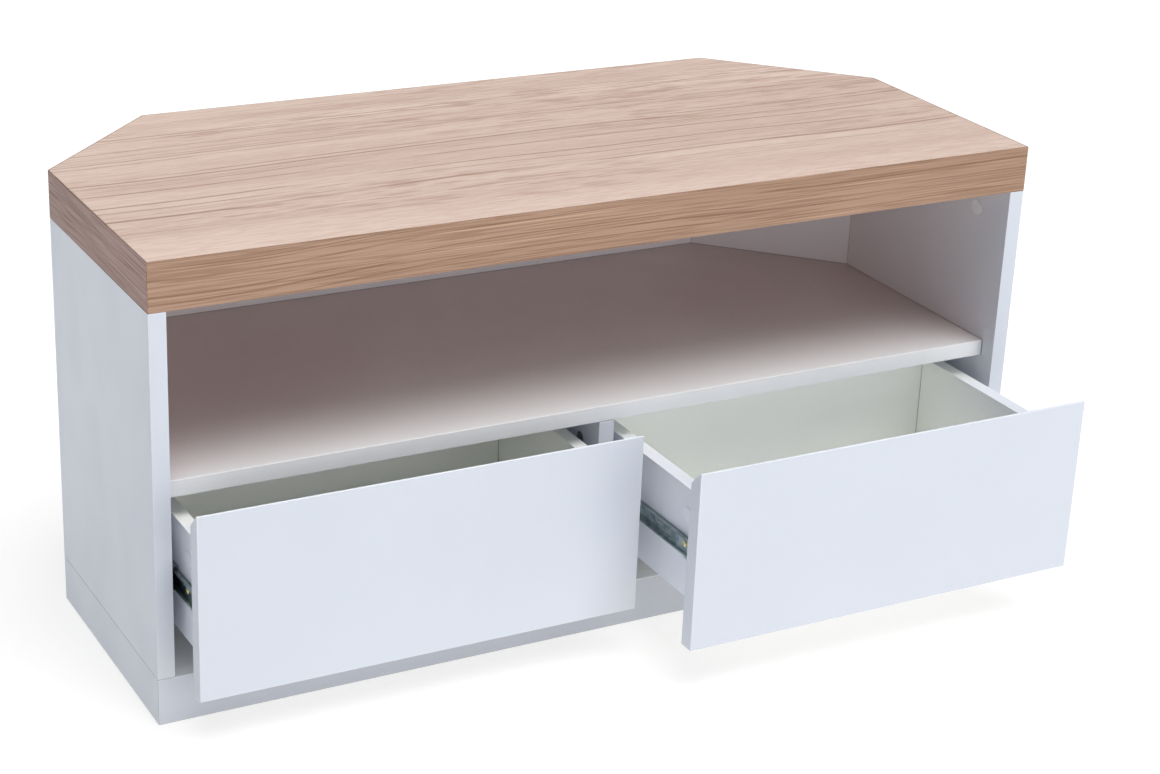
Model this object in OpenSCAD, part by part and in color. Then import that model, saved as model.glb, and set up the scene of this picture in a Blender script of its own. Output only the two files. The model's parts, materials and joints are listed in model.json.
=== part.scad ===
// Corner media cabinet: a thick hollow-core top on a board carcass with cut-back rear corners,
// an open niche over two drawers on ball-bearing runners, and a plinth under the whole footprint.
// X runs along the front, +Y points to the back and +Z up, with z = 0 on the floor.
// The origin is under the middle of the cabinet's bounding box, with the drawers as they stand.

/* [Cabinet] */
// Width across the front
width = 1000; // [900:10:1300]
// Depth from the front edge to the back
depth = 445; // [425:5:520]
// Overall height
height = 480; // [450:5:600]
// How far each rear corner is cut back along both walls
corner_cut = 150; // [120:5:150]
// Thickness of the top
top_t = 50; // [40:1:60]
// Height of the plinth
plinth_h = 50; // [40:1:80]
// Height of the shelf's upper face, which is also the floor of the open niche
shelf_z = 250; // [245:5:280]

/* [Boards] */
// Thickness of the sides, shelf, divider, bottom, plinth and drawer fronts
board_t = 18; // [16:1:22]
// Thickness of the back boards and of the drawer boxes
thin_t = 15; // [15:1:16]
// Thickness of the oak edging round the top
edging_t = 1; // [1:0.5:2]

/* [Drawers] */
// How far the left drawer stands open
open_left = 61; // [0:1:185]
// How far the right drawer stands open
open_right = 165; // [0:1:185]
// Thickness of the bevelled lip left at the top of a drawer front
lip_t = 2; // [1:1:4]
// Gap round a drawer front
front_gap = 2; // [2:0.5:4]
// Height of the drawer box
box_h = 120; // [110:5:120]

/* [Runners] */
// Length of a runner, which is also the length of the drawer box
runner_len = 250; // [230:10:250]
// How far the drawer member slides out of the cabinet member
travel = 185; // [185:1:190]

/* [Hidden] */
$fn = 48;
eps = 0.01;

// Plan of the footprint. Edge k runs from corner k to corner k + 1, counted from the front left.
half_w = width / 2;
side_d = depth - corner_cut;
back_half = half_w - corner_cut;
FRONT = 0;
RIGHT = 1;
CORNER_RIGHT = 2;
BACK = 3;
CORNER_LEFT = 4;
LEFT = 5;
tan_half_corner = tan(22.5);

// Corners of the footprint after it is drawn in by inset on every edge
function plan(inset) = [
    [inset - half_w, inset],
    [half_w - inset, inset],
    [half_w - inset, side_d - inset * tan_half_corner],
    [back_half - inset * tan_half_corner, depth - inset],
    [inset * tan_half_corner - back_half, depth - inset],
    [inset - half_w, side_d - inset * tan_half_corner]];

// Heights
top_z = height - top_t;
shelf_under = shelf_z - board_t;
bottom_z = plinth_h - board_t;

// Carcass: the inner faces of the sides, and where a side meets the inner face of a corner board
inner_x = half_w - board_t;
side_end_y = half_w + side_d - thin_t * sqrt(2) - inner_x;
back_in_y = depth - thin_t;
shelf_set = board_t + front_gap;

// Top panel: a frame and a card core between two skins
skin_t = 4;
frame_w = 40;
frame_h = top_t - 2 * skin_t;
core_pitch = 46;
core_wall = 1.2;

// Drawers, drawn for the right-hand bay with the drawer shut
bay_in = board_t / 2;
runner_gap = 13;
box_x0 = bay_in + runner_gap;
box_x1 = inner_x - runner_gap;
box_y0 = board_t;
box_y1 = box_y0 + runner_len;
box_z0 = 88;
box_z1 = box_z0 + box_h;
front_x0 = 2.5;
front_x1 = inner_x - 3;
front_z0 = plinth_h + front_gap;
front_z1 = shelf_z - front_gap;
// The drawer's bottom and the groove that holds it
groove_d = 6;
groove_z = box_z0 + 8;
groove_h = 3.2;
tray_t = 3;
tray_grip = 5.5;
// Heights of the two cams and of the dowel between them on a drawer side
cam_rows = [box_z0 + 34, box_z0 + 90];
dowel_row = box_z0 + 62;

// Runners: profiles are in mm from the board that carries the cabinet member and from mid height
rail_z = box_z0 + 58;
rail_y0 = box_y0 + 2;
rail_end = rail_y0 + runner_len - 2;
rail_len = rail_end - rail_y0;
sheet_t = 1.2;
cab_rail_h = 27;
cab_rail_d = 12;
cab_lip = 2.2;
box_rail_h = 18;
box_rail_d = 7;
box_lip = 0.9;
ball_d = 3;
ball_x = 9;
ball_z = 10.65;
ball_pitch = 7;
bumper_len = 5;
bumper_h = 2.1;
cage_t = 0.8;
cage_x = 3.4;
cage_arm_x = 10.4;
cage_gap = 1;
// The cage keeps clear of the stops and of both rails' ends over the whole travel
cage_y0 = rail_y0 + bumper_len + cage_gap + travel / 2;
cage_len = rail_end - travel / 2 - cage_gap - cage_y0;
balls_in_row = floor(cage_len / ball_pitch);
// Screw holes and unused holes, from a rail's front end
screw_at = [32, 128, 218];
spare_hole_at = [45, 86, 172];
hole_d = 4;
pilot_d = 3.2;
short_shank = 8;
long_shank = 10;

// Fittings
cam_d = 15;
cam_h = 12;
cam_set = 34;
thread_d = 6;
bolt_in = 11;
bore_d = 8;
dowel_d = 8;
dowel_len = 30;
// How deep a dowel sits in the face of a board that it enters square on
face_depth = 12;
thin_face_depth = 10;
fit = 0.1;

// The cabinet sits behind the drawer that stands out furthest
front_y = (max(open_left, open_right) - depth) / 2;

OAK = [0.80, 0.68, 0.56];
WHITE = [0.93, 0.94, 0.96];
BOX_WHITE = [0.86, 0.88, 0.85];
CHIPBOARD = [0.72, 0.60, 0.43];
CARD = [0.66, 0.52, 0.36];
BEECH = [0.83, 0.68, 0.47];
ZINC = [0.62, 0.66, 0.70];
YELLOW_ZINC = [0.80, 0.68, 0.32];
DIE_CAST = [0.55, 0.56, 0.58];
BLACK = [0.08, 0.08, 0.09];

// ---------------------------------------------------------------- places

module cabinet() { translate([0, front_y, 0]) children(); }
module right_drawer() { translate([0, front_y - open_right, 0]) children(); }
module left_drawer() { mirror([1, 0, 0]) translate([0, front_y - open_left, 0]) children(); }
module right_cages() { translate([0, front_y - open_right / 2, 0]) children(); }
module left_cages() { mirror([1, 0, 0]) translate([0, front_y - open_left / 2, 0]) children(); }
module both_sides() { children(); mirror([1, 0, 0]) children(); }

// ---------------------------------------------------------------- boards

// A board that follows edge k of the footprint, mitred at both ends
module edge_board(k, outer, inner, z, h) {
    a = plan(outer);
    b = plan(inner);
    n = (k + 1) % 6;
    translate([0, 0, z]) linear_extrude(h) polygon([a[k], a[n], b[n], b[k]]);
}

// A whole sheet with the footprint's outline
module sheet(inset, z, h) { translate([0, 0, z]) linear_extrude(h) polygon(plan(inset)); }

// A plain box between two opposite corners
module block(low, high) { translate(low) cube(high - low); }

// ---------------------------------------------------------------- cam fittings and dowels
// In a fitting's own frame the board's face is z = 0 and the board lies below it. The bolt runs
// along X, from the cam at x = 0 to the board's end at x = cam_set and on into the other board.

module cam_pocket(t) {
    translate([0, 0, -cam_h]) cylinder(d = cam_d + 2 * fit, h = cam_h + eps);
    translate([0, 0, -t / 2]) rotate([0, 90, 0]) cylinder(d = bore_d, h = cam_set + eps);
}

module bolt_pocket(t) {
    translate([cam_set - eps, 0, -t / 2]) rotate([0, 90, 0])
        cylinder(d = thread_d + 2 * fit, h = bolt_in + eps);
}

module cam(t) {
    difference() {
        translate([0, 0, -cam_h]) cylinder(d = cam_d, h = cam_h - 0.6);
        translate([-4.2, -3.9, -t / 2 - 3.9]) cube([cam_d, 7.8, 7.8]);
        translate([0, 0, -2.2]) linear_extrude(3) square([6.5, 1.4], center = true);
        translate([0, 0, -2.2]) linear_extrude(3) square([1.4, 6.5], center = true);
    }
}

module bolt(t) {
    translate([0, 0, -t / 2]) rotate([0, 90, 0]) union() {
        translate([0, 0, cam_set]) cylinder(d = thread_d, h = bolt_in);
        translate([0, 0, cam_set - 3]) cylinder(d = 7, h = 3);
        translate([0, 0, 1]) cylinder(d = 3.6, h = cam_set - 3);
        translate([0, 0, -2]) cylinder(d = 5.8, h = 4);
    }
}

module cap() {
    cylinder(d = 17, h = 0.9);
    translate([0, 0, -0.5]) cylinder(d = 5, h = 0.6);
}

module dowel_at(p, turn) { translate(p) rotate(turn) cylinder(d = dowel_d, h = dowel_len, center = true); }
module dowel_hole_at(p, turn) {
    translate(p) rotate(turn) cylinder(d = dowel_d + 2 * fit, h = dowel_len, center = true);
}

UPRIGHT = [0, 0, 0];
ALONG_X = [0, 90, 0];
ALONG_Y = [90, 0, 0];

// Cams of the right half: the sides hold the top, the shelf and the bottom hold the sides
module side_to_top() {
    for (y = [55, side_d - 55])
        translate([inner_x, y, top_z - cam_set]) rotate([0, -90, 0]) children();
}
module shelf_to_side() {
    for (y = [60, side_d - 55])
        translate([inner_x - cam_set, y, shelf_under]) rotate([180, 0, 0]) children();
}
module bottom_to_side() {
    for (y = [60, side_d - 55])
        translate([inner_x - cam_set, y, bottom_z]) rotate([180, 0, 0]) children();
}
module bottom_to_front() {
    translate([half_w / 2, board_t + cam_set, bottom_z]) rotate([180, 0, -90]) children();
}
module bottom_to_back() {
    translate([back_half / 2, depth - board_t - cam_set, bottom_z]) rotate([180, 0, 90]) children();
}
// Cams of the divider, on its left face
module divider_to_shelf() {
    for (y = [60, back_in_y - 50])
        translate([-board_t / 2, y, shelf_under - cam_set]) rotate([0, -90, 0]) children();
}
module divider_to_bottom() {
    for (y = [60, back_in_y - 50])
        translate([-board_t / 2, y, plinth_h + cam_set]) rotate([180, 0, 0]) rotate([0, -90, 0]) children();
}
// Every cam fitting of the carcass
module all_cabinet_cams() {
    both_sides() {
        side_to_top() children();
        shelf_to_side() children();
        bottom_to_side() children();
        bottom_to_front() children();
        bottom_to_back() children();
    }
    divider_to_shelf() children();
    divider_to_bottom() children();
}

// Dowels as [middle, turn]. One that enters a board's face sits further out of it than in.
into_face = face_depth - dowel_len / 2;
into_thin = thin_face_depth - dowel_len / 2;
mid_x = half_w - board_t / 2;
mid_back_y = depth - thin_t / 2;
corner_mid = (plan(thin_t / 2)[CORNER_RIGHT] + plan(thin_t / 2)[BACK]) / 2;
upright_xy = concat(
    [for (s = [-1, 1], y = [100, 150, 200]) [s * mid_x, y]],
    [for (x = [-1, 0, 1]) [x * (back_half - 100), mid_back_y]],
    [for (s = [-1, 1]) [s * corner_mid[0], corner_mid[1]]]);
cabinet_dowels = concat(
    [for (p = upright_xy) [[p[0], p[1], plinth_h], UPRIGHT]],
    [for (p = upright_xy) [[p[0], p[1], top_z], UPRIGHT]],
    [for (s = [-1, 1], y = [100, 200]) [[s * (inner_x + into_face), y, shelf_z - board_t / 2], ALONG_X]],
    [for (x = [-1, 1]) [[x * (back_half - 100), back_in_y + into_thin, shelf_z - board_t / 2], ALONG_Y]],
    [for (y = [150, back_in_y - 100]) [[0, y, shelf_under + into_face], UPRIGHT]],
    [for (y = [150, back_in_y - 100]) [[0, y, plinth_h - into_face], UPRIGHT]]);

module cabinet_dowel_holes() { for (d = cabinet_dowels) dowel_hole_at(d[0], d[1]); }

// ---------------------------------------------------------------- top panel

module top_skin_upper() { color(OAK) cabinet() sheet(edging_t, height - skin_t, skin_t); }

module top_skin_lower() {
    color(OAK) cabinet() difference() {
        sheet(edging_t, top_z, skin_t);
        cabinet_dowel_holes();
        both_sides() side_to_top() bolt_pocket(board_t);
    }
}

module top_frame(k) {
    color(CHIPBOARD) cabinet() difference() {
        edge_board(k, edging_t, edging_t + frame_w, top_z + skin_t, frame_h);
        cabinet_dowel_holes();
        both_sides() side_to_top() bolt_pocket(board_t);
    }
}
module top_frame_front() { top_frame(FRONT); }
module top_frame_back() { top_frame(BACK); }
module top_frame_sides() { top_frame(LEFT); top_frame(RIGHT); }
module top_frame_corners() { top_frame(CORNER_LEFT); top_frame(CORNER_RIGHT); }

// Card strips slotted together in squares, filling the inside of the frame
module top_core() {
    across = floor(half_w / core_pitch);
    color(CARD) cabinet() intersection() {
        sheet(edging_t + frame_w, top_z + skin_t, frame_h);
        union() {
            for (i = [-across : across])
                block(
                    [i * core_pitch - core_wall / 2, 0, top_z],
                    [i * core_pitch + core_wall / 2, depth, height]);
            for (y = [core_pitch * 1.5 : core_pitch : depth - frame_w])
                block([-half_w, y - core_wall / 2, top_z], [half_w, y + core_wall / 2, height]);
        }
    }
}

module edging(k) { color(OAK) cabinet() edge_board(k, 0, edging_t, top_z, top_t); }
module edge_front() { edging(FRONT); }
module edge_back() { edging(BACK); }
module edge_left() { edging(LEFT); }
module edge_right() { edging(RIGHT); }
module edge_corners() { edging(CORNER_LEFT); edging(CORNER_RIGHT); }

// ---------------------------------------------------------------- carcass boards

module side_board() {
    outline = [[inner_x, 0], [half_w, 0], [half_w, side_d], [inner_x, side_end_y]];
    difference() {
        translate([0, 0, plinth_h]) linear_extrude(top_z - plinth_h) polygon(outline);
        cabinet_dowel_holes();
        side_to_top() cam_pocket(board_t);
        shelf_to_side() bolt_pocket(board_t);
        runner_outer() rail_screw_holes();
    }
}
module side_right() { color(WHITE) cabinet() side_board(); }
module side_left() { color(WHITE) cabinet() mirror([1, 0, 0]) side_board(); }

module back_panel() {
    color(WHITE) cabinet() difference() {
        edge_board(BACK, 0, thin_t, plinth_h, top_z - plinth_h);
        cabinet_dowel_holes();
    }
}

module corner_board() {
    outline = [[half_w, side_d], [back_half, depth], plan(thin_t)[BACK], [inner_x, side_end_y]];
    difference() {
        translate([0, 0, plinth_h]) linear_extrude(top_z - plinth_h) polygon(outline);
        cabinet_dowel_holes();
    }
}
module corner_panel_right() { color(WHITE) cabinet() corner_board(); }
module corner_panel_left() { color(WHITE) cabinet() mirror([1, 0, 0]) corner_board(); }

module shelf() {
    back_x = plan(thin_t)[BACK][0];
    outline = [[-inner_x, shelf_set], [inner_x, shelf_set], [inner_x, side_end_y],
               [back_x, back_in_y], [-back_x, back_in_y], [-inner_x, side_end_y]];
    color(WHITE) cabinet() difference() {
        translate([0, 0, shelf_under]) linear_extrude(board_t) polygon(outline);
        cabinet_dowel_holes();
        both_sides() shelf_to_side() cam_pocket(board_t);
        divider_to_shelf() bolt_pocket(board_t);
    }
}

module divider() {
    color(WHITE) cabinet() difference() {
        block([-board_t / 2, shelf_set, plinth_h], [board_t / 2, back_in_y, shelf_under]);
        cabinet_dowel_holes();
        divider_to_shelf() cam_pocket(board_t);
        divider_to_bottom() cam_pocket(board_t);
        both_sides() runner_inner() rail_screw_holes();
    }
}

module bottom_panel() {
    color(WHITE) cabinet() difference() {
        sheet(board_t, bottom_z, board_t);
        cabinet_dowel_holes();
        both_sides() {
            bottom_to_side() cam_pocket(board_t);
            bottom_to_front() cam_pocket(board_t);
            bottom_to_back() cam_pocket(board_t);
        }
        divider_to_bottom() bolt_pocket(board_t);
    }
}

module plinth_board(k) {
    color(WHITE) cabinet() difference() {
        edge_board(k, 0, board_t, 0, plinth_h);
        cabinet_dowel_holes();
        both_sides() {
            bottom_to_side() bolt_pocket(board_t);
            bottom_to_front() bolt_pocket(board_t);
            bottom_to_back() bolt_pocket(board_t);
        }
    }
}
module plinth_front() { plinth_board(FRONT); }
module plinth_left() { plinth_board(LEFT); }
module plinth_right() { plinth_board(RIGHT); }
module plinth_corners() { plinth_board(CORNER_LEFT); plinth_board(CORNER_RIGHT); }
module plinth_back() { plinth_board(BACK); }

// Glue blocks in the plinth's six corners, under the bottom board
module plinth_blocks() {
    leg = 34;
    c = plan(board_t);
    color(CHIPBOARD) cabinet() for (k = [0 : 5]) {
        to_next = (c[(k + 1) % 6] - c[k]) / norm(c[(k + 1) % 6] - c[k]);
        to_last = (c[(k + 5) % 6] - c[k]) / norm(c[(k + 5) % 6] - c[k]);
        translate([0, 0, 4]) linear_extrude(bottom_z - 4)
            polygon([c[k], c[k] + leg * to_next, c[k] + leg * to_last]);
    }
}

// ---------------------------------------------------------------- carcass fittings

module cam_locks() { color(DIE_CAST) cabinet() all_cabinet_cams() cam(board_t); }
module cam_bolts() { color(ZINC) cabinet() all_cabinet_cams() bolt(board_t); }
module cover_caps() { color(WHITE) cabinet() both_sides() side_to_top() cap(); }
module dowels() { color(BEECH) cabinet() for (d = cabinet_dowels) dowel_at(d[0], d[1]); }

// ---------------------------------------------------------------- runners
// In a runner's own frame x = 0 is the face of the carcass board and x = runner_gap the face of
// the drawer side, z = 0 is mid height and Y runs along the rails from their front ends.

module runner_inner() { translate([bay_in, rail_y0, rail_z]) children(); }
module runner_outer() { translate([inner_x, rail_y0, rail_z]) mirror([1, 0, 0]) children(); }
module both_runners() { runner_inner() children(); runner_outer() children(); }

module along_rail(len) { rotate([90, 0, 0]) mirror([0, 0, 1]) linear_extrude(len) children(); }

module half_cabinet_profile() {
    top = cab_rail_h / 2;
    polygon([[0, -eps], [0, top], [cab_rail_d, top], [cab_rail_d, top - cab_lip],
             [cab_rail_d - sheet_t, top - cab_lip], [cab_rail_d - sheet_t, top - sheet_t],
             [sheet_t, top - sheet_t], [sheet_t, -eps]]);
}

module half_drawer_profile() {
    top = box_rail_h / 2;
    tip = runner_gap - box_rail_d;
    polygon([[runner_gap, -eps], [runner_gap, top], [tip + sheet_t, top], [tip + sheet_t, top + box_lip],
             [tip, top + box_lip], [tip, top - sheet_t], [runner_gap - sheet_t, top - sheet_t],
             [runner_gap - sheet_t, -eps]]);
}

module half_cage_profile() {
    polygon([[cage_x, -eps], [cage_x, ball_z + cage_t / 2], [cage_arm_x, ball_z + cage_t / 2],
             [cage_arm_x, ball_z - cage_t / 2], [cage_x + cage_t, ball_z - cage_t / 2],
             [cage_x + cage_t, -eps]]);
}

module rail(len) { along_rail(len) { children(); mirror([0, 1, 0]) children(); } }

module screw_places() { for (y = screw_at) translate([0, y, 0]) rotate([0, 90, 0]) children(); }

// Pilot holes in the board behind the cabinet member
module rail_screw_holes() {
    screw_places() translate([0, 0, -short_shank]) cylinder(d = pilot_d, h = short_shank + eps);
}

// A short round-headed screw: its head lies on the steel and its shank goes into the board
module rail_screw(shank) {
    difference() {
        union() {
            cylinder(d = 6.6, h = 1);
            translate([0, 0, 1]) cylinder(d1 = 6.6, d2 = 4.2, h = 0.7);
            translate([0, 0, -shank]) cylinder(d = 3, h = shank + eps);
        }
        translate([0, 0, 1.3]) cube([3.6, 0.9, 1.4], center = true);
        translate([0, 0, 1.3]) cube([0.9, 3.6, 1.4], center = true);
    }
}

module cabinet_rail() {
    difference() {
        rail(rail_len) half_cabinet_profile();
        for (y = concat(screw_at, spare_hole_at))
            translate([-1, y, 0]) rotate([0, 90, 0]) cylinder(d = hole_d, h = 4);
    }
}

module drawer_rail() {
    difference() {
        rail(rail_len) half_drawer_profile();
        for (y = concat(screw_at, spare_hole_at))
            translate([runner_gap - 3, y, 0]) rotate([0, 90, 0]) cylinder(d = hole_d, h = 4);
    }
}

module ball_places() {
    first = (cage_len - (balls_in_row - 1) * ball_pitch) / 2;
    for (i = [0 : balls_in_row - 1], s = [-1, 1])
        translate([ball_x, cage_y0 - rail_y0 + first + i * ball_pitch, s * ball_z]) children();
}

module ball_cage() {
    difference() {
        translate([0, cage_y0 - rail_y0, 0]) rail(cage_len) half_cage_profile();
        ball_places() cylinder(d = ball_d + 2 * fit, h = 3, center = true);
    }
}

// Plastic stops in both ball tracks at each end of a cabinet member
module bumpers() {
    track = cab_rail_h / 2 - sheet_t;
    for (y = [0, rail_len - bumper_len], s = [0, 1])
        mirror([0, 0, s]) block([5, y, track - bumper_h], [cab_rail_d - sheet_t, y + bumper_len, track]);
}

module cabinet_rails() { color(ZINC) cabinet() both_sides() both_runners() cabinet_rail(); }
module rail_bumpers() { color(BLACK) cabinet() both_sides() both_runners() bumpers(); }
module cabinet_rail_screws() {
    color(YELLOW_ZINC) cabinet() both_sides() both_runners()
        screw_places() translate([0, 0, sheet_t]) rail_screw(short_shank);
}

// ---------------------------------------------------------------- drawers, right-hand pattern

module drawer_cams() {
    for (z = cam_rows) {
        translate([box_x0, box_y0 + cam_set, z]) rotate([0, -90, 0]) rotate([0, 0, -90]) children();
        translate([box_x1, box_y0 + cam_set, z]) rotate([0, 90, 0]) rotate([0, 0, -90]) children();
    }
}

box_mid = [box_x0 + thin_t / 2, box_x1 - thin_t / 2];
drawer_dowels = concat(
    [for (x = box_mid) [[x, box_y0 - into_face, dowel_row], ALONG_Y]],
    [for (x = [box_x0 + thin_t - into_thin, box_x1 - thin_t + into_thin], z = cam_rows)
        [[x, box_y1 - thin_t / 2, z], ALONG_X]]);

module drawer_dowel_holes() { for (d = drawer_dowels) dowel_hole_at(d[0], d[1]); }

// Space for the drawer's bottom, cut into all four boards round it
module tray_groove() {
    block([box_x0 + thin_t - groove_d, box_y0 - groove_d, groove_z],
          [box_x1 - thin_t + groove_d, box_y1 - thin_t + groove_d, groove_z + groove_h]);
}

// Full-height front whose top edge slopes down to the back as a finger pull
module drawer_front() {
    slope = board_t - lip_t;
    profile = [
        [0, front_z0], [board_t, front_z0], [board_t, front_z1 - slope], [lip_t, front_z1], [0, front_z1]];
    difference() {
        translate([front_x0, 0, 0]) rotate([90, 0, 90]) linear_extrude(front_x1 - front_x0) polygon(profile);
        tray_groove();
        drawer_dowel_holes();
        drawer_cams() bolt_pocket(thin_t);
    }
}

module box_side(x) {
    difference() {
        block([x, box_y0, box_z0], [x + thin_t, box_y1, box_z1]);
        tray_groove();
        drawer_dowel_holes();
        drawer_cams() cam_pocket(thin_t);
        both_runners() screw_places()
            translate([0, 0, runner_gap - eps]) cylinder(d = pilot_d, h = long_shank);
    }
}

module box_back() {
    difference() {
        block([box_x0 + thin_t, box_y1 - thin_t, box_z0], [box_x1 - thin_t, box_y1, box_z1]);
        tray_groove();
        drawer_dowel_holes();
    }
}

module box_tray() {
    block([box_x0 + thin_t - tray_grip, box_y0 - tray_grip, groove_z],
          [box_x1 - thin_t + tray_grip, box_y1 - thin_t + tray_grip, groove_z + tray_t]);
}

module box_rail_screws() {
    both_runners() screw_places()
        translate([0, 0, runner_gap - sheet_t]) mirror([0, 0, 1]) rail_screw(long_shank);
}

module right_front() { color(WHITE) right_drawer() drawer_front(); }
module right_side_outer() { color(BOX_WHITE) right_drawer() box_side(box_x1 - thin_t); }
module right_side_inner() { color(BOX_WHITE) right_drawer() box_side(box_x0); }
module right_back() { color(BOX_WHITE) right_drawer() box_back(); }
module right_bottom() { color(BOX_WHITE) right_drawer() box_tray(); }
module right_rails() { color(ZINC) right_drawer() both_runners() drawer_rail(); }
module right_rail_screws() { color(YELLOW_ZINC) right_drawer() box_rail_screws(); }
module right_cam_locks() { color(DIE_CAST) right_drawer() drawer_cams() cam(thin_t); }
module right_cam_bolts() { color(ZINC) right_drawer() drawer_cams() bolt(thin_t); }
module right_cover_caps() { color(WHITE) right_drawer() drawer_cams() cap(); }
module right_dowels() { color(BEECH) right_drawer() for (d = drawer_dowels) dowel_at(d[0], d[1]); }
module right_ball_cages() { color(ZINC) right_cages() both_runners() ball_cage(); }
module right_balls() { color(DIE_CAST) right_cages() both_runners() ball_places() sphere(d = ball_d); }

module left_front() { color(WHITE) left_drawer() drawer_front(); }
module left_side_outer() { color(BOX_WHITE) left_drawer() box_side(box_x1 - thin_t); }
module left_side_inner() { color(BOX_WHITE) left_drawer() box_side(box_x0); }
module left_back() { color(BOX_WHITE) left_drawer() box_back(); }
module left_bottom() { color(BOX_WHITE) left_drawer() box_tray(); }
module left_rails() { color(ZINC) left_drawer() both_runners() drawer_rail(); }
module left_rail_screws() { color(YELLOW_ZINC) left_drawer() box_rail_screws(); }
module left_cam_locks() { color(DIE_CAST) left_drawer() drawer_cams() cam(thin_t); }
module left_cam_bolts() { color(ZINC) left_drawer() drawer_cams() bolt(thin_t); }
module left_cover_caps() { color(WHITE) left_drawer() drawer_cams() cap(); }
module left_dowels() { color(BEECH) left_drawer() for (d = drawer_dowels) dowel_at(d[0], d[1]); }
module left_ball_cages() { color(ZINC) left_cages() both_runners() ball_cage(); }
module left_balls() { color(DIE_CAST) left_cages() both_runners() ball_places() sphere(d = ball_d); }

top_skin_upper();
top_skin_lower();
top_frame_front();
top_frame_back();
top_frame_sides();
top_frame_corners();
top_core();
edge_front();
edge_back();
edge_left();
edge_right();
edge_corners();
side_left();
side_right();
back_panel();
corner_panel_left();
corner_panel_right();
shelf();
divider();
bottom_panel();
plinth_front();
plinth_left();
plinth_right();
plinth_corners();
plinth_back();
plinth_blocks();
cam_locks();
cam_bolts();
cover_caps();
dowels();
cabinet_rails();
cabinet_rail_screws();
rail_bumpers();
left_front();
left_side_outer();
left_side_inner();
left_back();
left_bottom();
left_rails();
left_rail_screws();
left_cam_locks();
left_cam_bolts();
left_cover_caps();
left_dowels();
left_ball_cages();
left_balls();
right_front();
right_side_outer();
right_side_inner();
right_back();
right_bottom();
right_rails();
right_rail_screws();
right_cam_locks();
right_cam_bolts();
right_cover_caps();
right_dowels();
right_ball_cages();
right_balls();
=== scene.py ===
# %% [markdown]
# # A corner media cabinet
# This cabinet is made of coated board: an oak-effect top on a white carcass, with two drawers on
# ball-bearing runners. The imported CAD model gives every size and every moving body, so it is loaded
# first and never moved. What follows gives each board its rounded edges, builds the pressed-steel
# parts in more detail than a drawing needs, and mixes a finish for every surface.

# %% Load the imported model
import json
from math import cos, pi, radians, sin

import bmesh
import bpy
from mathutils import Matrix, Vector


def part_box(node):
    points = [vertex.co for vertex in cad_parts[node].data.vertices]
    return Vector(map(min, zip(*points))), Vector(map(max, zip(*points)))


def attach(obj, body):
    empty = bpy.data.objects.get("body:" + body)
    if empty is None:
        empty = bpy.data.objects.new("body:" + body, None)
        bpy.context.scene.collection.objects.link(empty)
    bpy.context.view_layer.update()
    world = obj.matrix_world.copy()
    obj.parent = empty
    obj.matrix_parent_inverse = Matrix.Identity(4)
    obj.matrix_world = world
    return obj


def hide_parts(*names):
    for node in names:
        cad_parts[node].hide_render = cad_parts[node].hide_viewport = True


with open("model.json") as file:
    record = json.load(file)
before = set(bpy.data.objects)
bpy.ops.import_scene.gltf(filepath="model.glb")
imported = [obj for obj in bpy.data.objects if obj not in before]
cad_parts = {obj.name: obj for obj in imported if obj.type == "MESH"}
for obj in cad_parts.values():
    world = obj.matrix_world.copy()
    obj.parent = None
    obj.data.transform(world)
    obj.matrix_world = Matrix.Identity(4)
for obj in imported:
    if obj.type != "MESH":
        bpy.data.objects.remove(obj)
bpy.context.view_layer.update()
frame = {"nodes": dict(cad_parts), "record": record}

NODES = frame["nodes"]

# %% [markdown]
# ## The camera
# A camera is a place, a direction and a lens. The direction is built from two turns, as on a tripod:
# the pan to the right and the tilt down. A small roll then levels the picture. Writing the three axes
# as the columns of a matrix is surer than guessing three Euler angles.

# %% Set up the camera
PAN = radians(29.32)
TILT = radians(22.48)
ROLL = radians(2.52)
CAMERA_PLACE = Vector((-1.1822, -2.1643, 1.2459))
LENS_MM = 76.73
SENSOR_MM = 36

ahead = Vector((sin(PAN) * cos(TILT), cos(PAN) * cos(TILT), -sin(TILT)))
level_right = Vector((cos(PAN), -sin(PAN), 0))
level_up = level_right.cross(ahead)
right = level_right * cos(ROLL) + level_up * sin(ROLL)
up = level_up * cos(ROLL) - level_right * sin(ROLL)

camera = bpy.data.objects.new("camera", bpy.data.cameras.new("camera"))
bpy.context.scene.collection.objects.link(camera)
turn = Matrix((right, up, -ahead)).transposed()
camera.matrix_world = Matrix.Translation(CAMERA_PLACE) @ turn.to_4x4()
camera.data.lens = LENS_MM
camera.data.sensor_width = SENSOR_MM
camera.data.clip_start = 0.05
bpy.context.scene.camera = camera
print("the camera stands", round(CAMERA_PLACE.length, 2), "m from the middle of the cabinet")

# %% [markdown]
# ## The lights
# A white product needs light that is wide and soft, or its edges burn out. A sun lamp with a very
# wide disc stands in for a diffused ceiling: it has no falloff, so the floor stays evenly pale far
# behind the cabinet. One low softbox reaches into the niche from the front. The Standard view
# transform keeps whites white, where a filmic one would turn them grey, and more diffuse bounces
# than usual carry light to the back of the niche.

# %% Hang the lights
LOOK_AT = Vector((0, 0, 0.25))


def lamp(name, kind, place, power, spread, tint):
    light = bpy.data.lights.new(name, kind)
    light.energy = power
    light.color = tint
    if kind == "SUN":
        light.angle = spread
    else:
        light.size = spread
    holder = bpy.data.objects.new(name, light)
    bpy.context.scene.collection.objects.link(holder)
    holder.location = place
    holder.rotation_euler = (LOOK_AT - Vector(place)).to_track_quat("-Z", "Y").to_euler()


lamp("diffused ceiling", "SUN", place=(0.5, -0.75, 3.0), power=3.0, spread=radians(50), tint=(1, 0.99, 0.97))
lamp("front softbox", "AREA", place=(0.9, -3.2, 0.7), power=26, spread=2.0, tint=(1, 0.99, 0.98))

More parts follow.
